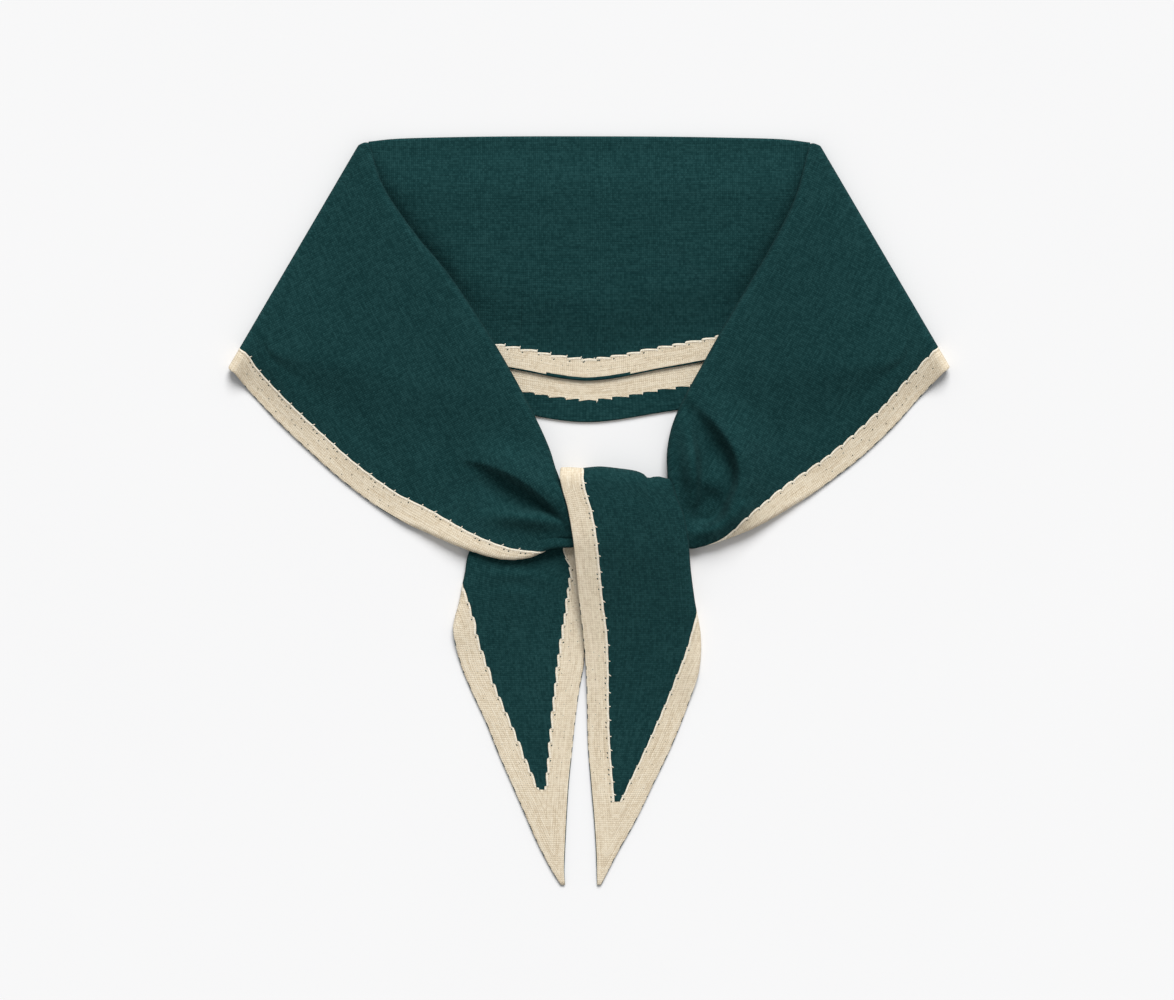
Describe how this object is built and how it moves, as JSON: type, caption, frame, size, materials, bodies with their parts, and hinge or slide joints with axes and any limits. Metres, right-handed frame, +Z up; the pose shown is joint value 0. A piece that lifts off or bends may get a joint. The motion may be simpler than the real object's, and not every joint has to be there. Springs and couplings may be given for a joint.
{
  "type": "knitted neckerchief scarf",
  "caption": "Knitted neckerchief scarf with a contrast border, folded double and lying flat, tied in a loose half knot with two pointed tails.",
  "frame": {"origin": "middle of the scarf's footprint, on the surface that it lies on", "axes": "+X across the scarf from the left front to the right front, +Y from the tail tips to the neck band, +Z up off the surface"},
  "size_m": [0.3312, 0.3444, 0.016],
  "materials": {
    "green_knit": "matte fine-gauge knit",
    "beige_knit": "matte fine-gauge knit"
  },
  "bodies": {
    "root": {"neck_band": "green_knit", "border_neck_near": "beige_knit", "border_neck_far": "green_knit", "wing_left": "green_knit", "border_wing_left": "beige_knit", "wing_right": "green_knit", "border_wing_right": "beige_knit", "tail_left": "green_knit", "border_tail_left": "beige_knit", "tail_right": "green_knit", "border_tail_right": "beige_knit"}
  },
  "joints": []
}
